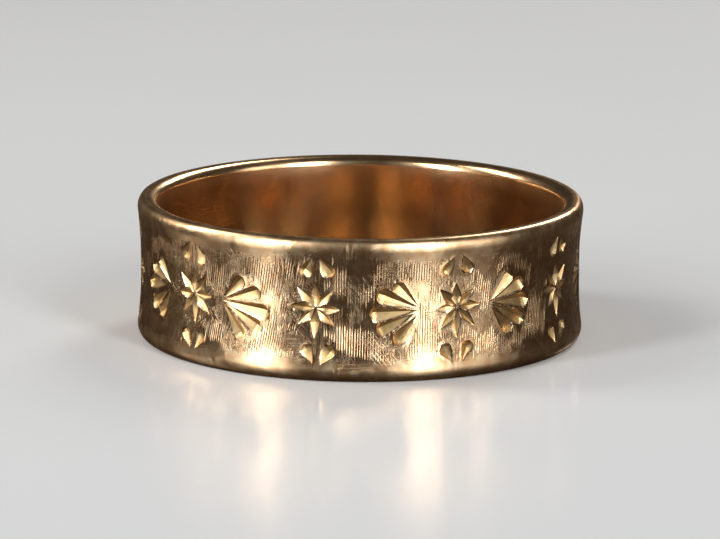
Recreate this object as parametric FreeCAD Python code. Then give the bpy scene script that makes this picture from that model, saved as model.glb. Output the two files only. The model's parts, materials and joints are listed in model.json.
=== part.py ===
"""A hand-engraved gold wedding band standing on its lower edge.

The hoop is a flat strip of gold bent round and closed with a soldered butt joint. A half-round rim wire
lies in a rebate along each edge of the strip. Stars, fans of flutes and pairs of leaves are cut into the
outer face between the rims with a flat graver.

Millimetres. +Z is the finger's axis, the lower edge rests on Z = 0, and -Y is the front.
"""

import FreeCAD, Part
import math
import os

# Hoop: the finger-side round always leaves a land of the strip flat beside the rim wire
FINGER_DIAMETER = 17.5
BAND_WIDTH = 6.0
STRIP_THICKNESS = 0.70
COMFORT_ROUND = 0.42
COMFORT_LAND = 0.03

# Rim wires
RIM_HEIGHT = 0.58
RIM_PROUD = 0.15
RIM_REBATE = 0.25
RIM_CREST_ROUND = 0.30

# Solder film between the ends of the strip and of the two wires
SEAM_THICKNESS = 0.08

# Engraving: every length is a fraction of the motif unit, the half height of the face between the rims
STAR_PAIRS = 5
FIRST_STAR_ANGLE = -10.9
LARGEST_UNIT_PER_PITCH = 0.41
FACE_MARGIN = 0.99

STAR_RAYS = 8
STAR_RAY = 0.46
STAR_LONG_RAY = 0.54
STAR_NUB = 0.055
RAY_HALF_WIDTH = 0.080
RAY_BELLY = 0.50
RAY_DEPTH = 0.17

FAN_FLUTE_SPACING = 24.0
FAN_FLUTE_LENGTHS = (0.70, 0.86, 0.96, 0.86, 0.70)
FAN_APEX_FROM_STAR = 0.65
FLUTE_START = 0.13
FLUTE_BELLY = 0.80
FLUTE_SPREAD = 0.155
FLUTE_END_SPREAD = 0.09
FLUTE_DEPTH = 0.24

LEAF_TIP = (0.05, 0.94)
LEAF_OUTER = (0.33, 0.71)
LEAF_HEEL = (0.19, 0.57)
LEAF_INNER = (0.05, 0.64)
LEAF_DEEPEST = (0.15, 0.67)
LEAF_DEPTH = 0.16

# How far each cutting solid stands clear of the face it cuts
TOOL_RISE = 0.10

INNER_RADIUS = FINGER_DIAMETER / 2
FACE_RADIUS = INNER_RADIUS + STRIP_THICKNESS
REBATE_RADIUS = FACE_RADIUS - RIM_REBATE
FINGER_ROUND = min(COMFORT_ROUND, STRIP_THICKNESS - RIM_REBATE - COMFORT_LAND)
CREST_RADIUS = FACE_RADIUS + RIM_PROUD
STAR_COUNT = 2 * STAR_PAIRS
STAR_PITCH = 2 * math.pi * FACE_RADIUS / STAR_COUNT
FACE_HALF_HEIGHT = BAND_WIDTH / 2 - RIM_HEIGHT
MOTIF_UNIT = min(FACE_HALF_HEIGHT * FACE_MARGIN, STAR_PITCH * LARGEST_UNIT_PER_PITCH)
UP = FreeCAD.Vector(0, 0, 1)
CENTRE = FreeCAD.Vector(0, 0, 0)


def on_section(radius, height):
    """A point of the cross-section, drawn in the XZ plane."""
    return FreeCAD.Vector(radius, 0, height)


def line(start, end):
    return Part.makeLine(start, end)


def quarter_round(start, end, centre):
    """The short arc from start to end about centre."""
    radius = start.distanceToPoint(centre)
    toward = (start + end) * 0.5 - centre
    middle = centre + toward * (radius / toward.Length)
    return Part.Arc(start, middle, end).toShape()


def angle_on_face(length):
    """The angle in degrees that a length along the outer face covers."""
    return math.degrees(length / FACE_RADIUS)


def seam_angle():
    """The plain strip of face at the back, between a fan's mouth and the next star."""
    fan_mouth = STAR_PITCH - (FAN_APEX_FROM_STAR + max(FAN_FLUTE_LENGTHS)) * MOTIF_UNIT
    ray_tip = STAR_RAY * MOTIF_UNIT
    repeat = 360 / STAR_PAIRS
    back_star = FIRST_STAR_ANGLE + repeat * math.ceil((180 - FIRST_STAR_ANGLE) / repeat)
    return back_star - angle_on_face((fan_mouth + ray_tip) / 2)


def swept(edges, start_angle, sweep):
    """The solid that a closed section makes when it turns about the finger's axis."""
    section = Part.Face(Part.Wire(edges))
    solid = section.revolve(CENTRE, UP, sweep)
    solid.rotate(CENTRE, UP, start_angle - 90)
    return solid


def round_the_hoop(edges):
    """A section swept from one side of the solder film round to the other."""
    film = math.degrees(SEAM_THICKNESS / INNER_RADIUS)
    return swept(edges, seam_angle() + film / 2, 360 - film)


def mirrored(edges):
    """The same edges turned over about the band's middle height."""
    middle = FreeCAD.Vector(0, 0, BAND_WIDTH / 2)
    return [edge.mirror(middle, UP) for edge in edges]


def inner_wall():
    """The finger side of the section, from the flat of the lower edge to the flat of the upper one."""
    low = on_section(INNER_RADIUS, FINGER_ROUND)
    high = on_section(INNER_RADIUS, BAND_WIDTH - FINGER_ROUND)
    foot = on_section(INNER_RADIUS + FINGER_ROUND, 0)
    head = on_section(INNER_RADIUS + FINGER_ROUND, BAND_WIDTH)
    lower_centre = on_section(INNER_RADIUS + FINGER_ROUND, FINGER_ROUND)
    upper_centre = on_section(INNER_RADIUS + FINGER_ROUND, BAND_WIDTH - FINGER_ROUND)
    lower = quarter_round(foot, low, lower_centre)
    upper = quarter_round(high, head, upper_centre)
    return [lower, line(low, high), upper]


def upper_crest():
    """The rounded outside of the upper rim, from its flat top down to the face."""
    top = on_section(CREST_RADIUS - RIM_CREST_ROUND, BAND_WIDTH)
    crest = on_section(CREST_RADIUS, BAND_WIDTH - RIM_CREST_ROUND)
    root = on_section(FACE_RADIUS, BAND_WIDTH - RIM_HEIGHT)
    shoulder_centre = on_section(CREST_RADIUS - RIM_CREST_ROUND, BAND_WIDTH - RIM_CREST_ROUND)
    fall = RIM_HEIGHT - RIM_CREST_ROUND
    flank_radius = (fall**2 + RIM_PROUD**2) / (2 * RIM_PROUD)
    flank_centre = on_section(CREST_RADIUS - flank_radius, BAND_WIDTH - RIM_CREST_ROUND)
    return [quarter_round(top, crest, shoulder_centre), quarter_round(crest, root, flank_centre)]


def make_strip():
    """The strip before engraving, with a rebate along each outer edge."""
    head = on_section(INNER_RADIUS + FINGER_ROUND, BAND_WIDTH)
    corner = on_section(REBATE_RADIUS, BAND_WIDTH)
    step = on_section(REBATE_RADIUS, BAND_WIDTH - RIM_HEIGHT)
    shoulder = on_section(FACE_RADIUS, BAND_WIDTH - RIM_HEIGHT)
    upper = [line(head, corner), line(corner, step), line(step, shoulder)]
    low_shoulder = on_section(FACE_RADIUS, RIM_HEIGHT)
    face = line(shoulder, low_shoulder)
    return round_the_hoop(inner_wall() + upper + [face] + mirrored(upper))


def rim_section():
    """The upper wire: flat where it lies in the rebate and on top, half round outside."""
    seat_top = on_section(REBATE_RADIUS, BAND_WIDTH)
    seat_foot = on_section(REBATE_RADIUS, BAND_WIDTH - RIM_HEIGHT)
    top = on_section(CREST_RADIUS - RIM_CREST_ROUND, BAND_WIDTH)
    root = on_section(FACE_RADIUS, BAND_WIDTH - RIM_HEIGHT)
    return [line(seat_top, top)] + upper_crest() + [line(root, seat_foot), line(seat_foot, seat_top)]


def make_seam():
    """The solder film: the whole section of strip and wires, as thick as the butt gap."""
    head = on_section(INNER_RADIUS + FINGER_ROUND, BAND_WIDTH)
    top = on_section(CREST_RADIUS - RIM_CREST_ROUND, BAND_WIDTH)
    root = on_section(FACE_RADIUS, BAND_WIDTH - RIM_HEIGHT)
    low_root = on_section(FACE_RADIUS, RIM_HEIGHT)
    outside = [line(head, top)] + upper_crest()
    edges = inner_wall() + outside + [line(root, low_root)] + mirrored(outside)
    film = math.degrees(SEAM_THICKNESS / INNER_RADIUS)
    return swept(edges, seam_angle() - film / 2, film)


def on_face(star_angle, along, above, depth):
    """A point of the engraving, placed from the middle of a star: along the face, above it and into it."""
    angle = math.radians(star_angle + angle_on_face(along * MOTIF_UNIT))
    radius = FACE_RADIUS - depth
    height = BAND_WIDTH / 2 + above * MOTIF_UNIT
    return FreeCAD.Vector(radius * math.sin(angle), -radius * math.cos(angle), height)


def graver_cut(star_angle, outline, deepest, depth):
    """The chip one graver cut lifts: facets from the cut's outline on the face to its deepest point."""
    bottom = on_face(star_angle, deepest[0], deepest[1], depth)
    growth = 1 + TOOL_RISE / depth
    lid = []
    for along, above in outline:
        edge_point = on_face(star_angle, along, above, 0)
        lid.append(bottom + (edge_point - bottom) * growth)
    facets = [(bottom, lid[i - 1], lid[i]) for i in range(len(lid))]
    facets += [(lid[0], lid[i], lid[i + 1]) for i in range(1, len(lid) - 1)]
    shell = Part.Shell([Part.Face(Part.makePolygon([a, b, c, a])) for a, b, c in facets])
    chip = Part.Solid(shell)
    if chip.Volume < 0:
        chip.reverse()
    return chip


def turned(origin, direction, points):
    """Points given as (distance out, distance aside) laid out from an origin in a direction."""
    c = math.cos(math.radians(direction))
    s = math.sin(math.radians(direction))
    return [(origin[0] + out * c - side * s, origin[1] + out * s + side * c) for out, side in points]


def star_cuts(star_angle):
    """Eight leaf-shaped rays round a small nub. The ray that points down is the longest."""
    cuts = []
    for ray in range(STAR_RAYS):
        direction = 90 + ray * 360 / STAR_RAYS
        length = STAR_LONG_RAY if ray == STAR_RAYS // 2 else STAR_RAY
        belly = STAR_NUB + (length - STAR_NUB) * RAY_BELLY
        ray_outline = [(STAR_NUB, 0), (belly, RAY_HALF_WIDTH), (length, 0), (belly, -RAY_HALF_WIDTH)]
        *outline, deepest = turned((0, 0), direction, ray_outline + [(belly, 0)])
        cuts.append(graver_cut(star_angle, outline, deepest, RAY_DEPTH))
    return cuts


def fan_cuts(star_angle, side):
    """Five flutes that spread from an apex beside a star: side 1 opens to the right, -1 to the left."""
    cuts = []
    for flute, length in enumerate(FAN_FLUTE_LENGTHS):
        heading = (flute - len(FAN_FLUTE_LENGTHS) // 2) * FAN_FLUTE_SPACING
        belly = length * FLUTE_BELLY
        wide = length * FLUTE_SPREAD
        blunt = length * FLUTE_END_SPREAD
        upper_side = [(FLUTE_START, 0), (belly, wide), (length, blunt)]
        lower_side = [(length, -blunt), (belly, -wide)]
        points = turned((FAN_APEX_FROM_STAR, 0), heading, upper_side + lower_side + [(belly, 0)])
        *outline, deepest = [(side * along, above) for along, above in points]
        cuts.append(graver_cut(star_angle, outline, deepest, FLUTE_DEPTH))
    return cuts


def leaf_cuts(star_angle):
    """A pair of leaves above the star and a pair below it, their tips toward the rims."""
    cuts = []
    for side in (-1, 1):
        for way in (-1, 1):
            outline = [(side * a, way * b) for a, b in (LEAF_TIP, LEAF_OUTER, LEAF_HEEL, LEAF_INNER)]
            deepest = (side * LEAF_DEEPEST[0], way * LEAF_DEEPEST[1])
            cuts.append(graver_cut(star_angle, outline, deepest, LEAF_DEPTH))
    return cuts


def engraving():
    """Every cut round the face. Each second star has a fan on both sides, its apex toward the star."""
    cuts = []
    for star in range(STAR_COUNT):
        star_angle = FIRST_STAR_ANGLE + star * 360 / STAR_COUNT
        cuts += star_cuts(star_angle) + leaf_cuts(star_angle)
        if star % 2 == 1:
            cuts += fan_cuts(star_angle, 1) + fan_cuts(star_angle, -1)
    return cuts


def engraved_strip():
    return make_strip().cut(engraving())


def main():
    os.makedirs("parts", exist_ok=True)
    nodes = {
        "band_strip": engraved_strip(),
        "upper_rim_wire": round_the_hoop(rim_section()),
        "lower_rim_wire": round_the_hoop(mirrored(rim_section())),
        "solder_seam": make_seam(),
    }
    for name, shape in nodes.items():
        shape.exportStep("parts/" + name + ".step")


main()
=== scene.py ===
"""A hand-engraved gold wedding band standing on its lower edge, on a pale studio table."""

import bmesh
import bpy
import json
import math
import random
import numpy as np
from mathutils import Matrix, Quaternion, Vector, noise
from mathutils.geometry import delaunay_2d_cdt


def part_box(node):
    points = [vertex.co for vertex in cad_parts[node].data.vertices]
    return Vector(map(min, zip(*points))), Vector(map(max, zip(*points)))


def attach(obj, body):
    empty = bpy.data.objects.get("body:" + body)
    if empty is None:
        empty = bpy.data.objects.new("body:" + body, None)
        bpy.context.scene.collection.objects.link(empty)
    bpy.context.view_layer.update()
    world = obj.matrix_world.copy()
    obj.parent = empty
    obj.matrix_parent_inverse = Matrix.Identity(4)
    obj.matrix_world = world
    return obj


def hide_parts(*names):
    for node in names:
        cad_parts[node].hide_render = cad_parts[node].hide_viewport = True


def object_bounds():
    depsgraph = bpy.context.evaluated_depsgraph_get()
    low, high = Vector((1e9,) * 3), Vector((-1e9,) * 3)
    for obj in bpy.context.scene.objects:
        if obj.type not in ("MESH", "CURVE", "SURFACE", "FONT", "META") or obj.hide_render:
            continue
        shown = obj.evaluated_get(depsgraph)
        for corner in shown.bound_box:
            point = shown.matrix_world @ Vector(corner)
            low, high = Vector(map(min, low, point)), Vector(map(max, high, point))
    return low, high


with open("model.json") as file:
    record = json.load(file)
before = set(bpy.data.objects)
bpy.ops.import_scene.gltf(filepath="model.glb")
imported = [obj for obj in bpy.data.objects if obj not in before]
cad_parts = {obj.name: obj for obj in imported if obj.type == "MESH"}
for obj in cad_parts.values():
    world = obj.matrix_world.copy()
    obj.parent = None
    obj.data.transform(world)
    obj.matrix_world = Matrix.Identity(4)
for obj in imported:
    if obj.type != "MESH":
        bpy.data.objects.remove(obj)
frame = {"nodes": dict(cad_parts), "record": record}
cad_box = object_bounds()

# ---------------------------------------------------------------------------------------------------------
# The blank strip. Rolled gold 0.7 mm thick, bent round and closed with a butt joint at the back. Its inner
# edges are eased for the finger, and a rebate along each outer edge takes a rim wire.
# ---------------------------------------------------------------------------------------------------------

MM = 0.001
FLARE_POWER = 2.4


def reach(node):
    """The largest distance of a CAD node from the finger's axis, in millimetres."""
    return max(math.hypot(v.co.x, v.co.y) for v in frame["nodes"][node].data.vertices) / MM


finger_bore = next(m for m in frame["record"]["mounts"] if m["name"] == "finger_bore")
inner_radius = finger_bore["dims"]["r_mm"]
face_radius = reach("band_strip")
crest_radius = reach("upper_rim_wire")
band_width = cad_box[1].z / MM
rim_height = band_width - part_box("upper_rim_wire")[0].z / MM
comfort_round = (band_width - finger_bore["dims"]["length_mm"]) / 2
rim_rebate = 0.25
rebate_radius = face_radius - rim_rebate
half_face = band_width / 2 - rim_height
rim_proud = crest_radius - face_radius
crest_round = 0.30
crest_fall = 0.45
crest_up = band_width / 2 - crest_fall
crest_lean = math.atan(rim_proud * FLARE_POWER / crest_up * crest_fall / crest_round)
flare_up = crest_up - crest_fall * math.sin(crest_lean)
flare_out = rim_proud - crest_round * (1 - math.cos(crest_lean))

seam_low, seam_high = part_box("solder_seam")
seam_middle = (seam_low + seam_high) / 2
seam_angle = math.atan2(seam_middle.x, -seam_middle.y) % math.tau
seam_thickness = 0.08
face_start = (seam_angle - math.tau) * face_radius + seam_thickness / 2
face_end = seam_angle * face_radius - seam_thickness / 2
steps_round = 480


def on_hoop(angle, radius, height):
    """A point of the ring in metres. The angle runs from the front toward +X."""
    return Vector((radius * math.sin(angle), -radius * math.cos(angle), height)) * MM


def arc(centre, wide, tall, start, end, steps):
    """Points (radius, height) of the section along an oval arc; angles in degrees above straight out."""
    turns = [math.radians(start + (end - start) * i / steps) for i in range(steps + 1)]
    return [(centre[0] + wide * math.cos(t), centre[1] + tall * math.sin(t)) for t in turns]


def rim_flare(up):
    """How far the face swells toward a rim: wear has run strip, solder and wire into one soft slope."""
    return flare_out * min(abs(up) / flare_up, 1) ** FLARE_POWER


def outer_wave(angle, up):
    """The slow, shallow waves that bending and a lifetime of knocks leave in the outside."""
    slow = noise.noise(Vector((math.sin(angle) * 7, math.cos(angle) * 7, up * 0.75)))
    quick = noise.noise(Vector((math.sin(angle) * 24, math.cos(angle) * 24, up * 2.4 + 9)))
    return slow * 0.010 + quick * 0.003


def finger_wave(angle, height):
    """The slow dents that a finger's wear leaves in the inner wall."""
    return 0.006 * noise.noise(Vector((math.sin(angle) * 5, math.cos(angle) * 5, height * 0.4 + 20)))


def hidden_section():
    """The strip's section from the top of its face round the finger side to the bottom of its face."""
    inner_corner = inner_radius + comfort_round
    upper = arc((inner_corner, band_width - comfort_round), comfort_round, comfort_round, 90, 180, 14)
    lower = arc((inner_corner, comfort_round), comfort_round, comfort_round, 180, 270, 14)
    wall = [(inner_radius, upper[-1][1] + (lower[0][1] - upper[-1][1]) * i / 16) for i in range(1, 16)]
    head = [(rebate_radius, band_width - rim_height), (rebate_radius, band_width)]
    foot = [(rebate_radius, 0.0), (rebate_radius, rim_height)]
    return head + upper + wall + lower + foot


# ---------------------------------------------------------------------------------------------------------
# The engraving. Every cut is one push of a graver: it enters shallow, widens as the hand leans in, and
# leaves two bright facets that meet in a valley. Stars, fans of flutes and leaves are all made of it.
# ---------------------------------------------------------------------------------------------------------

star_count = 10
first_star = math.radians(-10.9)
star_pitch = math.tau * face_radius / star_count
unit = min(half_face * 0.99, star_pitch * 0.41)
hand = random.Random(1881)


def shaky(value, share):
    """A length as the hand makes it, a little off."""
    return value * (1 + hand.uniform(-share, share))


def heading_to(degrees):
    """A step of one millimetre on the unrolled face; 0 runs along the strip and 90 toward the upper rim."""
    return Vector((math.cos(math.radians(degrees)), math.sin(math.radians(degrees))))


class Cut:
    """One graver cut, as stations along its line: each has a left edge, a valley and a right edge.

    Hollow is the share of the depth reached halfway down each wall: 0.5 is a flat wall.
    """

    def __init__(self, start, heading, length, width, depth, belly, blunt, lean, bend, hollow, steps):
        self.left, self.valley, self.right, self.depths = [], [], [], []
        self.hollow = hollow
        point = Vector(start)
        for i in range(steps + 1):
            s = i / steps
            ahead = heading_to(heading + bend * (s - 0.5))
            aside = Vector((-ahead.y, ahead.x))
            full = self.fullness(s, belly, blunt) if 0 < i < steps else 0
            half = width / 2 * full * (1 + hand.uniform(-0.05, 0.05))
            self.left.append(point + aside * half)
            self.right.append(point - aside * half)
            self.valley.append(point + aside * half * lean)
            self.depths.append(depth * full * (1 + hand.uniform(-0.03, 0.03)))
            point = point + ahead * (length / steps)

    def fullness(self, s, belly, blunt):
        """How wide and deep the cut is along its line, from 0 at the ends to 1 at its belly."""
        if s < belly:
            rise = s / belly
            return math.sin(rise * math.pi / 2) * (1 - blunt) + rise**0.9 * blunt
        fall = (s - belly) / (1 - belly)
        return (1 - fall**1.25) * (1 - blunt) + math.sqrt(max(1 - fall**2.2, 0)) * blunt

    def outline(self):
        return self.left + self.right[-2:0:-1]

    def halfway(self, side):
        """The line halfway down one wall."""
        return [edge.lerp(low, 0.5) for edge, low in zip(side, self.valley)]

    def facets(self):
        """The cut's own surface, as triangles of (point, depth)."""
        rim = [0.0] * len(self.valley)
        half_depths = [depth * self.hollow for depth in self.depths]
        for side in (self.left, self.right):
            levels = [(side, rim), (self.halfway(side), half_depths), (self.valley, self.depths)]
            for (high, high_depths), (low, low_depths) in zip(levels, levels[1:]):
                for i in range(len(high) - 1):
                    a, b = (high[i], high_depths[i]), (high[i + 1], high_depths[i + 1])
                    c, d = (low[i], low_depths[i]), (low[i + 1], low_depths[i + 1])
                    yield a, b, d
                    yield a, d, c


def star_cuts(along):
    """Eight rays round a small nub. The ray toward the lower rim is the longest."""
    cuts = []
    middle = Vector((along + hand.uniform(-0.04, 0.04), 0.06 + hand.uniform(-0.04, 0.04)))
    spin = hand.uniform(-4, 4)
    for ray in range(8):
        heading = 90 + spin + ray * 45 + hand.uniform(-4, 4)
        length = unit * (0.54 if ray == 4 else shaky(0.46, 0.1))
        width = shaky(0.44, 0.08)
        start = middle + heading_to(heading) * 0.05
        cuts.append(Cut(start, heading, length - 0.05, width, width * 0.3, belly=0.42, blunt=0.1,
                        lean=hand.uniform(-0.25, 0.25), bend=hand.uniform(-8, 8), hollow=0.53, steps=9))
    return cuts


def fan_cuts(along, side):
    """Five flutes that spread from beside a star, each run in deep and stopped short with a blunt end."""
    cuts = []
    tilt = hand.uniform(-9, 5)
    apex = Vector((along + side * 0.65 * unit, hand.uniform(0.0, 0.12)))
    for flute, length in enumerate((0.67, 0.84, 0.96, 0.90, 0.76)):
        spread = (2 - flute) * 24 + tilt + hand.uniform(-2.5, 2.5)
        heading = spread if side > 0 else 180 - spread
        length = unit * shaky(length, 0.04)
        first = hand.uniform(0.1, 0.35)
        width = (0.30 + length * 0.19) * hand.uniform(0.92, 1.06)
        cuts.append(Cut(apex + heading_to(heading) * first, heading, length - first, width, width * 0.26,
                        belly=hand.uniform(0.78, 0.86), blunt=0.9, lean=side * hand.uniform(0.0, 0.4),
                        bend=hand.uniform(-5, 5), hollow=0.6, steps=13))
    return cuts


def leaf_cuts(along):
    """Two leaves above a star and two below it, tips toward the rim and heels toward the star."""
    cuts = []
    for side in (-1, 1):
        for way in (-1, 1):
            tip = Vector((along + side * unit * shaky(0.07, 0.3), way * unit * hand.uniform(0.93, 0.96)))
            heading = math.degrees(math.atan2(-way * 0.36, side * 0.2)) + hand.uniform(-5, 5)
            cuts.append(Cut(tip, heading, unit * shaky(0.385, 0.06), shaky(0.58, 0.08), 0.15, belly=0.7,
                            blunt=0.75, lean=side * way * hand.uniform(0.0, 0.35),
                            bend=side * way * hand.uniform(5, 25), hollow=0.6, steps=9))
    return cuts


engraving = []
stars = [(i, (first_star + i * math.tau / star_count) * face_radius) for i in range(-4, 6)]
for number, along in stars:
    engraving += star_cuts(along) + leaf_cuts(along)
    if number % 2:
        engraving += fan_cuts(along, -1) + fan_cuts(along, 1)

# ---------------------------------------------------------------------------------------------------------
# The hatching and the scratches. Close upright lines shade the ground round every fan, worn away in places.
# Between them the gold carries a century of random scratches, crowded where the hatching stops.
# ---------------------------------------------------------------------------------------------------------

CELL = 0.02
cells_along = int((face_end - face_start) / CELL) + 2
cells_up = int(2 * half_face / CELL) + 2
engraved = np.zeros((cells_along, cells_up), bool)
crowded = np.zeros((cells_along, cells_up), bool)


def cell(point):
    """The cell of the marking grids that a point of the face lies in."""
    i = int((point[0] - face_start) / CELL)
    j = int((point[1] + half_face) / CELL)
    return min(max(i, 0), cells_along - 1), min(max(j, 0), cells_up - 1)


def mark(grid, points, spread):
    """Marks the cells within a spread of a line of points."""
    reach_cells = int(math.ceil(spread / CELL))
    for a, b in zip(points, points[1:]):
        count = max(int((b - a).length / CELL), 1)
        for k in range(count + 1):
            i, j = cell(a.lerp(b, k / count))
            across = slice(max(i - reach_cells, 0), i + reach_cells + 1)
            upward = slice(max(j - reach_cells, 0), j + reach_cells + 1)
            grid[across, upward] = True


for cut in engraving:
    for left, right in zip(cut.left, cut.right):
        mark(engraved, [left, right], CELL)
    mark(engraved, cut.left, 0.02)
    mark(engraved, cut.right, 0.02)
    mark(crowded, cut.left, 0.03)
    mark(crowded, cut.right, 0.03)
crowded |= engraved


class Stroke:
    """A fine line in the ground: a shallow V that fades in and out."""

    def __init__(self, points, width, depth):
        self.points, self.half, self.depth = points, width / 2, depth
        last = len(points) - 1
        self.fade = [min(1.0, 3.2 * i / last, 3.2 * (last - i) / last) for i in range(last + 1)]

    def edges(self):
        """The stroke's left edge, valley and right edge. All three meet at its ends."""
        left, right = [], []
        for i, point in enumerate(self.points):
            before = self.points[max(i - 1, 0)]
            after = self.points[min(i + 1, len(self.points) - 1)]
            aside = (after - before).normalized().orthogonal() * self.half * max(self.fade[i], 0)
            left.append(point + aside)
            right.append(point - aside)
        return left[1:-1], self.points, right[1:-1]


def clear_runs(points):
    """The pieces of a line that stay on open ground, at least four points each."""
    margin = 0.05
    runs, run = [], []
    for point in points:
        inside = face_start + margin < point.x < face_end - margin and abs(point.y) < half_face - margin
        if inside and not engraved[cell(point)]:
            run.append(point)
            continue
        runs.append(run)
        run = []
    runs.append(run)
    return [r for r in runs if len(r) > 3]


def stroke_line(start, heading, length, wander, step):
    """A line drawn from a point, turning a little as it goes."""
    count = max(int(length / step), 3)
    points = [Vector(start)]
    turn = hand.uniform(-wander, wander)
    for i in range(count):
        points.append(points[-1] + heading_to(heading + turn * i / count + hand.uniform(-1, 1)) * step)
    return points


def ground_wear(point):
    """How worn the ground is, from 0 to 1: high spots and the swell to each rim have lost their hatching."""
    far = noise.noise(Vector((point[0] * 0.55, point[1] * 0.5, 3.1)))
    near = noise.noise(Vector((point[0] * 1.7, point[1] * 1.3, 8.7)))
    swell = 0.45 * (abs(point[1]) / half_face) ** 4
    return min(max(0.24 + far * 0.6 + near * 0.3 + swell, 0), 1)


HATCH_PITCH = 0.108


def hatch_block(corner, side, lines, slant, length):
    """A block of parallel lines, cut one beside the other from a common start."""
    for i in range(lines):
        across = side * i * HATCH_PITCH * hand.uniform(0.99, 1.01)
        start = corner + Vector((across, hand.uniform(-0.05, 0.05)))
        line = stroke_line(start, 90 - slant, length + hand.uniform(-0.15, 0.15), 0.8, 0.13)
        worn = ground_wear(line[len(line) // 2])
        if worn > hand.uniform(0.6, 0.85):
            continue
        depth = hand.uniform(0.0068, 0.0088) * (1.1 - worn)
        strokes.extend(Stroke(run, shaky(0.045, 0.08), depth) for run in clear_runs(line))


strokes = []
for number, along in stars:
    if number % 2 == 0:
        continue
    for side in (-1, 1):
        slant = hand.uniform(1, 4) if side < 0 else hand.uniform(5, 9)
        place = 0.2
        while place < star_pitch - 0.8:
            lines = hand.randint(7, 13)
            tilt = slant + hand.uniform(-1.2, 1.2)
            foot = -half_face + hand.uniform(0.08, 0.4)
            while foot < half_face - 0.3:
                length = hand.uniform(1.3, 3.0)
                shift = foot * math.tan(math.radians(tilt))
                hatch_block(Vector((along + side * place + shift, foot)), side, lines, tilt, length)
                foot += length + hand.uniform(0.02, 0.1)
            place += lines * HATCH_PITCH

for number, along in stars:
    crowd = 22 if number % 2 == 0 else 7
    for i in range(crowd):
        start = Vector((along + hand.gauss(0.6, 0.8), hand.uniform(-half_face, half_face)))
        heading = hand.choice((58, 65, 118, 125, 30, 150)) + hand.gauss(0, 9)
        line = stroke_line(start, heading, hand.uniform(0.5, 1.7), 8, 0.13)
        for run in clear_runs(line):
            strokes.append(Stroke(run, hand.uniform(0.03, 0.04), hand.uniform(0.0018, 0.0036)))

for stroke in strokes:
    mark(crowded, stroke.points, 0.02)

# ---------------------------------------------------------------------------------------------------------
# The strip itself, one closed skin. Its face is triangulated so that every facet, valley and stroke keeps a
# true edge, and the open ground carries the slow waves that bending and a lifetime of wear leave.
# ---------------------------------------------------------------------------------------------------------

places, joints = [], []


def lay(points):
    """Adds a line of points to the face's drawing and returns their numbers."""
    first = len(places)
    places.extend(points)
    return list(range(first, len(places)))


def join(numbers):
    """Keeps the line through these points as edges of the face."""
    joints.extend(zip(numbers, numbers[1:]))


ground_steps_up = 40
along_steps = [face_start + (face_end - face_start) * i / steps_round for i in range(steps_round + 1)]
up_steps = [-half_face + 2 * half_face * j / ground_steps_up for j in range(ground_steps_up + 1)]
join(lay([Vector((a, -half_face)) for a in along_steps]))
join(lay([Vector((a, half_face)) for a in along_steps]))
join(lay([Vector((face_start, u)) for u in up_steps[1:-1]]))
join(lay([Vector((face_end, u)) for u in up_steps[1:-1]]))

for cut in engraving:
    left, valley, right = lay(cut.left), lay(cut.valley[1:-1]), lay(cut.right[1:-1])
    join(left)
    join([left[0], *valley, left[-1]])
    join([left[0], *right, left[-1]])
    for side in (cut.left, cut.right):
        join([left[0], *lay(cut.halfway(side)[1:-1]), left[-1]])

for stroke in strokes:
    left, valley, right = (lay(line) for line in stroke.edges())
    join(valley)
    join([valley[0], *left, valley[-1]])
    join([valley[0], *right, valley[-1]])

for cut in engraving:
    middle = sum(cut.valley, Vector((0, 0))) / len(cut.valley)
    for away in (0.035, 0.085):
        for point in cut.outline():
            burr = point + (point - middle).normalized() * away
            if abs(burr.y) < half_face - 0.03 and not engraved[cell(burr)]:
                lay([burr])

for i in range(1, steps_round):
    for j in range(1, ground_steps_up):
        point = Vector((along_steps[i] + hand.uniform(-0.03, 0.03), up_steps[j] + hand.uniform(-0.03, 0.03)))
        if not crowded[cell(point)]:
            lay([point])

flat = delaunay_2d_cdt(places, joints, [], 0, 1e-5)
flat_points = np.array([tuple(p) for p in flat[0]])
order = np.argsort(flat_points[:, 0])
sorted_along = flat_points[order, 0]


def near_points(line, margin):
    """The numbers of the face's points round a line."""
    low, high = min(p.x for p in line) - margin, max(p.x for p in line) + margin
    bottom, top = min(p.y for p in line) - margin, max(p.y for p in line) + margin
    near = order[np.searchsorted(sorted_along, low):np.searchsorted(sorted_along, high)]
    return near[(flat_points[near, 1] >= bottom) & (flat_points[near, 1] <= top)]


def facet_depths(points, facet):
    """The depth of one facet under each point, or 0 outside it."""
    (a, da), (b, db), (c, dc) = facet
    area = (b.x - a.x) * (c.y - a.y) - (c.x - a.x) * (b.y - a.y)
    if abs(area) < 1e-9:
        return np.zeros(len(points))
    px, py = points[:, 0] - a.x, points[:, 1] - a.y
    wb = (px * (c.y - a.y) - py * (c.x - a.x)) / area
    wc = (py * (b.x - a.x) - px * (b.y - a.y)) / area
    wa = 1 - wb - wc
    within = (wa > -1e-4) & (wb > -1e-4) & (wc > -1e-4)
    return np.where(within, wa * da + wb * db + wc * dc, 0)


def stretch_depths(points, a, b, deep_a, deep_b, half):
    """The depth of one stretch of a stroke under each point."""
    run = np.array(b - a)
    share = np.clip(((points - np.array(a)) @ run) / (run @ run), 0, 1)
    gap = np.hypot(*(points - np.array(a) - share[:, None] * run).T)
    return (deep_a + (deep_b - deep_a) * share) * np.clip(1 - gap / half, 0, None)


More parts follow.
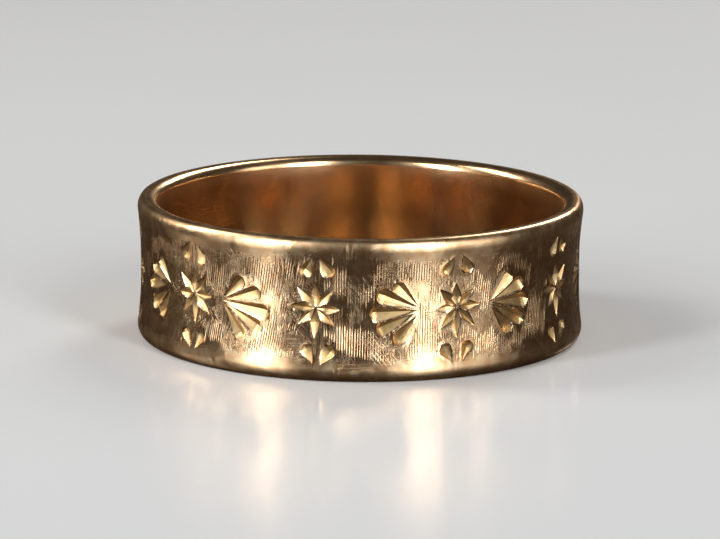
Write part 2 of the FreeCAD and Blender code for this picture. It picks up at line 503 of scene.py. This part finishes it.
cut_depth = np.zeros(len(flat_points))
burr_height = np.zeros(len(flat_points))
for cut in engraving:
    near = near_points(cut.left + cut.right, 0.15)
    for facet in cut.facets():
        cut_depth[near] = np.maximum(cut_depth[near], facet_depths(flat_points[near], facet))
    outline = np.array([tuple(p) for p in cut.outline()])
    gap = np.linalg.norm(flat_points[near][:, None] - outline[None], axis=2).min(axis=1)
    burr_height[near] = np.maximum(burr_height[near], 0.007 * np.exp(-(gap / 0.05) ** 2))

stroke_depth = np.zeros(len(flat_points))
for stroke in strokes:
    for i, (a, b) in enumerate(zip(stroke.points, stroke.points[1:])):
        near = near_points([a, b], stroke.half)
        deep = [stroke.depth * stroke.fade[i + k] for k in (0, 1)]
        found = stretch_depths(flat_points[near], a, b, *deep, stroke.half)
        stroke_depth[near] = np.maximum(stroke_depth[near], found)


def ground_lift(along, up):
    """The open ground's height over the strip's true cylinder."""
    return rim_flare(up) + outer_wave(along / face_radius, up)


face_points = []
for (along, up), deep, burr, scratch in zip(flat_points, cut_depth, burr_height, stroke_depth):
    lift = ground_lift(along, up) - deep
    if deep < 0.004:
        lift += burr - scratch
    face_points.append(on_hoop(along / face_radius, face_radius + lift, band_width / 2 + up))

section = hidden_section()
ring_points = []
for along in along_steps:
    angle = along / face_radius
    for radius, height in section:
        dent = finger_wave(angle, height) if radius == inner_radius else 0
        ring_points.append(on_hoop(angle, radius + dent, height))


def face_edge(axis, value):
    """The numbers of the points on one straight edge of the face, in order along it."""
    found = np.where(np.abs(flat_points[:, axis] - value) < 1e-6)[0]
    return [int(k) for k in found[np.argsort(flat_points[found, 1 - axis])]]


top_edge, foot_edge = face_edge(1, half_face), face_edge(1, -half_face)
left_edge, right_edge = face_edge(0, face_start), face_edge(0, face_end)
strip_faces = [tuple(f) for f in flat[2]]
base, per_ring = len(face_points), len(section)
rings = [[top_edge[i], *range(base + i * per_ring, base + (i + 1) * per_ring), foot_edge[i]]
         for i in range(steps_round + 1)]
for ring, following in zip(rings, rings[1:]):
    for k in range(len(ring) - 1):
        strip_faces.append((ring[k], ring[k + 1], following[k + 1], following[k]))
strip_faces.append(tuple(rings[0][::-1][:-1] + left_edge[::-1][:-1]))
strip_faces.append(tuple(rings[-1][:-1] + right_edge[:-1]))


def make_piece(name, points, faces, sharp_from):
    """A closed piece from points and faces: outward faces, smooth except at edges sharper than an angle."""
    mesh = bpy.data.meshes.new(name)
    mesh.from_pydata(points, [], faces)
    work = bmesh.new()
    work.from_mesh(mesh)
    bmesh.ops.recalc_face_normals(work, faces=work.faces)
    for face in work.faces:
        face.smooth = True
    for edge in work.edges:
        if len(edge.link_faces) == 2:
            edge.smooth = edge.calc_face_angle() < math.radians(sharp_from)
    work.to_mesh(mesh)
    work.free()
    piece = bpy.data.objects.new(name, mesh)
    bpy.context.scene.collection.objects.link(piece)
    return piece


strip = make_piece("engraved_strip", face_points + ring_points, strip_faces, 9)


class Value:
    """A shader number that can be used in ordinary sums."""

    def __init__(self, finish, socket):
        self.finish, self.socket = finish, socket

    def math(self, operation, *others):
        """One Math node on this value and any others that it takes."""
        terms = dict(enumerate((self, *others)))
        return self.finish.node("ShaderNodeMath", {"operation": operation}, terms)("Value")

    def __add__(self, other):
        return self.math("ADD", other)

    __radd__ = __add__

    def __sub__(self, other):
        return self.math("SUBTRACT", other)

    def __rsub__(self, other):
        return self.finish.node("ShaderNodeMath", {"operation": "SUBTRACT"}, {0: other, 1: self})("Value")

    def __mul__(self, other):
        return self.math("MULTIPLY", other)

    __rmul__ = __mul__

    def __truediv__(self, other):
        return self.math("DIVIDE", other)

    def __pow__(self, other):
        return self.math("POWER", other)

    def size(self):
        """The value without its sign."""
        return self.math("ABSOLUTE")

    def step(self, low, high):
        """0 below low, 1 above high, and a smooth rise between."""
        out = self.finish.node("ShaderNodeMapRange", {"interpolation_type": "SMOOTHSTEP"},
                               {"Value": self, "From Min": low, "From Max": high})
        return out("Result")


class Finish:
    """The node tree of one material, or of the room's air."""

    def __init__(self, owner):
        owner.use_nodes = True
        self.owner, self.tree = owner, owner.node_tree
        self.tree.nodes.clear()

    def feed(self, slot, term):
        """Links a value into a socket, or sets a plain number, colour or vector on it."""
        if isinstance(term, Value):
            self.tree.links.new(term.socket, slot)
        else:
            slot.default_value = term

    def node(self, kind, settings, inputs):
        """Any node: its settings, then its sockets by name or number. Returns a way to take its outputs."""
        node = self.tree.nodes.new(kind)
        for key, setting in settings.items():
            setattr(node, key, setting)
        for key, term in inputs.items():
            self.feed(node.inputs[key], term)
        return lambda output: Value(self, node.outputs[output])

    def vector(self, x, y, z):
        """A vector of three values."""
        return self.node("ShaderNodeCombineXYZ", {}, {"X": x, "Y": y, "Z": z})("Vector")

    def place(self):
        """The point on the piece in millimetres, as x, y and z."""
        point = self.node("ShaderNodeTexCoord", {}, {})("Object")
        parts = self.node("ShaderNodeSeparateXYZ", {}, {"Vector": point})
        return [parts(axis) * (1 / MM) for axis in "XYZ"]

    def noise(self, where, scale, detail=2.0, roughness=0.5):
        """A cloudy pattern from 0 to 1."""
        out = self.node("ShaderNodeTexNoise", {"noise_dimensions": "3D"},
                        {"Vector": where, "Scale": scale, "Detail": detail, "Roughness": roughness})
        return out("Fac")

    def blend(self, share, low, high):
        """A colour between two others. A Mix node's colours go in at sockets 6 and 7 and come out at 2."""
        return self.node("ShaderNodeMix", {"data_type": "RGBA"}, {0: share, 6: low, 7: high})(2)

    def metal(self, color, roughness, relief, relief_depth):
        """Ends the tree in bare metal, with fine relief given as heights from 0 to 1."""
        normal = self.node("ShaderNodeBump", {}, {"Height": relief, "Distance": relief_depth * MM})("Normal")
        body = self.node("ShaderNodeBsdfPrincipled", {}, {
            "Base Color": color, "Metallic": 1.0, "Roughness": roughness, "Normal": normal})("BSDF")
        self.node("ShaderNodeOutputMaterial", {}, {"Surface": body})
        return self.owner


def scratch_layer(finish, along, up, turn, length, spacing, share):
    """Thin wandering scratches in one direction, 1 in a scratch and 0 beside it."""
    c, s = math.cos(math.radians(turn)), math.sin(math.radians(turn))
    out = along * c + up * s
    across = up * c - along * s
    where = finish.vector(out / length, across / spacing, turn * 0.37)
    line = 1 - (finish.noise(where, 1.0, 1.0) - 0.5).size().step(0.0, 0.022)
    area = finish.vector(along, up, turn * 1.3 + 5)
    patch = finish.noise(area, 0.9, 2.0).step(1 - share, 1.15 - share)
    return line * patch


def unrolled(finish, x, y):
    """How far round the hoop a point lies from the side opposite the seam, in millimetres."""
    c, s = math.cos(seam_angle), math.sin(seam_angle)
    from_opposite = (x * -c - y * s).math("ARCTAN2", y * c - x * s)
    return from_opposite * face_radius


def worn_gold(name, dull, fresh, engraved):
    """Old gold: dull on the open ground, yellower and satin in the cuts, with painted shade and some dirt
    tone deep in the cuts, and a lighter, warmer gold painted on the finger side for light bounced round
    inside the ring.
    """
    cut_dull, cut_fresh = (0.66, 0.43, 0.18, 1), (0.80, 0.58, 0.30, 1)
    # The second pair: painted shade with a little dirt tone for the deepest parts of the cuts, and a
    # lighter, warmer gold painted on the finger side for light bounced round inside the ring.
    dirt_and_shade_color, lit_inside_color = (0.42, 0.25, 0.10, 1), (0.92, 0.61, 0.33, 1)
    gold = Finish(bpy.data.materials.new(name))
    x, y, z = gold.place()
    radius = (x * x + y * y).math("SQRT")
    along = unrolled(gold, x, y)
    where = gold.vector(x, y, z)
    up = (z - band_width / 2).size()
    swell = (up / flare_up) ** FLARE_POWER * flare_out
    crest = up.step(half_face - 0.6, crest_up)
    depth = face_radius + swell - radius
    inside = depth.step(0.42, 0.6)
    in_cut = depth.step(0.02, 0.05) * (1 - depth.step(0.22, 0.26)) * engraved
    worn = gold.noise(where, 0.55, 3.0).step(0.35, 0.68)
    cloud = gold.noise(where, 2.3, 4.0, 0.6)
    grain = gold.noise(where, 26.0, 2.0)
    fine = (scratch_layer(gold, along, z, 88, 2.6, 0.055, 0.55)
            .math("MAXIMUM", scratch_layer(gold, along, z, 35, 1.8, 0.05, 0.5))
            .math("MAXIMUM", scratch_layer(gold, along, z, 128, 1.9, 0.06, 0.52))
            .math("MAXIMUM", scratch_layer(gold, along, z, 4, 2.4, 0.05, 0.45)))
    fine = fine * (1 - in_cut * 0.8) * (1 - depth.step(0.1, 0.3) * 0.9)
    ground_color = gold.blend(cloud.step(0.35, 0.7), dull, fresh)
    cut_color = gold.blend(cloud.step(0.3, 0.75), cut_dull, cut_fresh)
    # Painted shade, partly old dirt: the cuts turn darker and browner toward their deepest parts.
    dirt_and_shade = depth.step(0.05, 0.19) * (0.25 + cloud * 0.6)
    cut_color = gold.blend(dirt_and_shade, cut_color, dirt_and_shade_color)
    color = gold.blend(in_cut, ground_color, cut_color)
    # Painted light: the finger side takes a lighter, warmer gold that stands in for light bounced round
    # inside the ring.
    color = gold.blend(inside, color, lit_inside_color)
    roughness = 0.21 + crest * 0.07 + cloud * 0.08 - worn * 0.04 + fine * 0.1 + in_cut * 0.2 - inside * 0.07
    relief = (grain * (0.3 + in_cut * 1.8) + cloud * 0.4) * (1 - inside * 0.7) - fine
    return gold.metal(color, roughness, relief, 0.0013)


strip.data.materials.append(worn_gold("engraved_gold", (0.77, 0.46, 0.23, 1), (0.88, 0.63, 0.37, 1), 1))
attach(strip, "root")
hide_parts("band_strip")

# ---------------------------------------------------------------------------------------------------------
# The two rim wires. Half-round gold wire soldered into the rebates, flat on its seat and burnished round
# outside. Its crest is dinged and rubbed thin in places, and a line of solder fills its inner corner.
# ---------------------------------------------------------------------------------------------------------


def rim_section():
    """The upper wire's section (radius, height), from its seat over the top and down to the face."""
    shoulder = (crest_radius - crest_round, band_width - crest_fall)
    over = arc(shoulder, crest_round, crest_fall, 90, -math.degrees(crest_lean), 16)
    steps = [flare_up + (half_face - flare_up) * i / 2 for i in (1, 2)]
    down = [(face_radius + rim_flare(up), band_width / 2 + up) for up in steps]
    flat_top = [(rebate_radius + (shoulder[0] - rebate_radius) * i / 3, band_width) for i in range(3)]
    seat = [(rebate_radius, band_width - rim_height)]
    return flat_top + over + down + seat


def rim_wire(name, node, flipped, finish):
    """One wire bent round the hoop, closed at both sides of the seam."""
    outline = rim_section()
    if flipped:
        outline = [(radius, band_width - height) for radius, height in outline]
    points = []
    for place in along_steps:
        angle = place / face_radius
        for radius, height in outline:
            up = height - band_width / 2
            knock = noise.noise(Vector((math.sin(angle) * 20, math.cos(angle) * 20, up + 5))) - 0.5
            rub = outer_wave(angle, up) - max(knock, 0) * max(abs(up) - half_face, 0) * 0.3
            points.append(on_hoop(angle, radius + (rub if radius > rebate_radius else 0), height))
    count = len(outline)
    faces = []
    for i in range(steps_round):
        for k in range(count):
            a, b = i * count + k, i * count + (k + 1) % count
            faces.append((a, b, b + count, a + count))
    faces.append(tuple(range(count)))
    faces.append(tuple(range(steps_round * count, (steps_round + 1) * count)))
    wire = make_piece(name, points, faces, 40)
    wire.data.materials.append(finish)
    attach(wire, "root")
    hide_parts(node)


rim_gold = worn_gold("rim_gold", (0.77, 0.46, 0.23, 1), (0.88, 0.64, 0.38, 1), 0)
rim_wire("upper_wire", "upper_rim_wire", False, rim_gold)
rim_wire("lower_wire", "lower_rim_wire", True, rim_gold)

# ---------------------------------------------------------------------------------------------------------
# The solder seam. A film of paler gold solder across the whole section, filed flush with the strip and
# both wires, so that only a hair line shows.
# ---------------------------------------------------------------------------------------------------------

upper_outside = rim_section()[1:-1]
lower_outside = [(radius, band_width - height) for radius, height in upper_outside][::-1]
face_side = [(face_radius + ground_lift(face_end, up), band_width / 2 + up) for up in up_steps[1:-1]]
finger_side = hidden_section()[2:-2]
film_outline = upper_outside + face_side[::-1] + lower_outside + finger_side[::-1]
film_points = []
film_half_angle = 0.98 * seam_thickness / 2 / inner_radius
film_sunk = 0.003
for side in (-1, 0, 1):
    angle = seam_angle + side * film_half_angle
    for radius, height in film_outline:
        if radius == inner_radius:
            radius += finger_wave(angle, height)
        sunk = film_sunk if side == 0 and radius > rebate_radius else 0
        film_points.append(on_hoop(angle, radius - sunk, height))
count = len(film_outline)
film_faces = [tuple(range(count)), tuple(range(2 * count, 3 * count))]
for layer in (0, 1):
    for k in range(count):
        a, b = layer * count + k, layer * count + (k + 1) % count
        film_faces.append((a, b, b + count, a + count))
seam = make_piece("solder_film", film_points, film_faces, 40)
seam.data.materials.append(worn_gold("solder", (0.77, 0.48, 0.26, 1), (0.88, 0.65, 0.40, 1), 0))
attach(seam, "root")
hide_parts("solder_seam")

# ---------------------------------------------------------------------------------------------------------
# The studio. A pale acrylic table with a soft sheen, a tall soft light on each side of the camera, a weaker
# one at the right, two behind, and the camera low in front. Reflections see the table and the room as dark.
# ---------------------------------------------------------------------------------------------------------

table_mesh = bpy.data.meshes.new("table")
spokes = 96
table_radii = (0.03, 0.08, 0.2, 0.5, 1.2, 3.0)
table_mirror_share = 0.13
table_points = [(0, 0, 0)]
for ring_radius in table_radii:
    for i in range(spokes):
        turn = math.tau * i / spokes
        table_points.append((ring_radius * math.cos(turn), ring_radius * math.sin(turn), 0))
table_faces = [(0, 1 + i, 1 + (i + 1) % spokes) for i in range(spokes)]
for start in range(1, (len(table_radii) - 1) * spokes, spokes):
    for i in range(spokes):
        a, b = start + i, start + (i + 1) % spokes
        table_faces.append((a, a + spokes, b + spokes, b))
table_mesh.from_pydata(table_points, [], table_faces)
table = bpy.data.objects.new("table", table_mesh)
bpy.context.scene.collection.objects.link(table)
acrylic = Finish(bpy.data.materials.new("pale_acrylic"))
x, y, z = acrylic.place()
mottle = acrylic.noise(acrylic.vector(x, y, z), 0.05, 3.0)
pale = acrylic.blend(mottle, (0.50, 0.50, 0.496, 1), (0.52, 0.518, 0.512, 1))
sheen = 0.15 + mottle * 0.05
matt = acrylic.node("ShaderNodeBsdfPrincipled", {}, {
    "Base Color": pale, "Roughness": 1.0, "Specular IOR Level": 0.0})("BSDF")
gloss = acrylic.node("ShaderNodeBsdfPrincipled", {}, {
    "Base Color": (1, 1, 1, 1), "Metallic": 1.0, "Roughness": sheen})("BSDF")
seen_table = acrylic.node("ShaderNodeMixShader", {}, {
    "Fac": table_mirror_share, 1: matt, 2: gloss})("Shader")
mirrored_table = acrylic.node("ShaderNodeBsdfPrincipled", {}, {
    "Base Color": (0.028, 0.020, 0.014, 1), "Roughness": sheen,
    "Specular IOR Level": 0.32, "IOR": 1.5})("BSDF")
mirrored = acrylic.node("ShaderNodeLightPath", {}, {})("Is Glossy Ray")
acrylic_body = acrylic.node("ShaderNodeMixShader", {}, {
    "Fac": mirrored, 1: seen_table, 2: mirrored_table})("Shader")
acrylic.node("ShaderNodeOutputMaterial", {}, {"Surface": acrylic_body})
table_mesh.materials.append(acrylic.owner)

centre = (cad_box[0] + cad_box[1]) / 2
lamp_spread = math.radians(100)


def soft_light(name, azimuth, elevation, distance, width, height, power, color):
    """A rectangular soft light aimed at the ring. Azimuth 0 is the camera's side, 90 is +X."""
    lamp = bpy.data.lights.new(name, "AREA")
    lamp.shape = "RECTANGLE"
    lamp.size, lamp.size_y = width, height
    lamp.spread = lamp_spread
    lamp.energy = power
    lamp.color = color
    holder = bpy.data.objects.new(name, lamp)
    a, e = math.radians(azimuth), math.radians(elevation)
    back = Vector((math.sin(a) * math.cos(e), -math.cos(a) * math.cos(e), math.sin(e)))
    holder.location = centre + back * distance
    holder.rotation_euler = back.to_track_quat("Z", "Y").to_euler()
    bpy.context.scene.collection.objects.link(holder)


soft_light("left_strip", azimuth=-50, elevation=23, distance=0.32, width=0.065, height=0.25, power=0.25,
           color=(0.94, 0.98, 1.04))
soft_light("right_strip", azimuth=33, elevation=23, distance=0.32, width=0.065, height=0.25, power=0.25,
           color=(0.94, 0.98, 1.04))
soft_light("right_fill", azimuth=62, elevation=16, distance=0.40, width=0.14, height=0.20, power=0.048,
           color=(0.97, 0.98, 1.0))
soft_light("back_left", azimuth=-98, elevation=34, distance=0.34, width=0.08, height=0.20, power=0.17,
           color=(1.0, 0.97, 0.93))
soft_light("back_right", azimuth=152, elevation=38, distance=0.34, width=0.08, height=0.20, power=0.17,
           color=(1.0, 0.97, 0.93))

room = Finish(bpy.data.worlds.new("room"))
pale_wall = room.node("ShaderNodeBackground", {}, {"Color": (0.42, 0.42, 0.415, 1)})("Background")
dim_room = room.node("ShaderNodeBackground", {}, {"Color": (0.030, 0.025, 0.020, 1)})("Background")
mirrored = room.node("ShaderNodeLightPath", {}, {})("Is Glossy Ray")
seen_room = room.node("ShaderNodeMixShader", {}, {"Fac": mirrored, 1: pale_wall, 2: dim_room})("Shader")
room.node("ShaderNodeOutputWorld", {}, {"Surface": seen_room})
bpy.context.scene.world = room.owner

camera_data = bpy.data.cameras.new("camera")
camera_data.lens = 222
camera_data.clip_start = 0.005
camera_data.clip_end = 10
camera = bpy.data.objects.new("camera", camera_data)
bpy.context.scene.collection.objects.link(camera)
camera_distance = 20 * crest_radius * MM
camera_elevation = math.radians(12.3)
camera_roll = math.radians(0.5)
aim_drop = 0.28
aim = centre - Vector((0, 0, aim_drop * MM))
camera_back = Vector((0, -math.cos(camera_elevation), math.sin(camera_elevation)))
camera.location = aim + camera_back * camera_distance
level = (-camera_back).to_track_quat("-Z", "Y")
camera.rotation_mode = "QUATERNION"
camera.rotation_quaternion = level @ Quaternion((0, 0, 1), camera_roll)
bpy.context.scene.camera = camera
bpy.context.scene.view_settings.view_transform = "Standard"
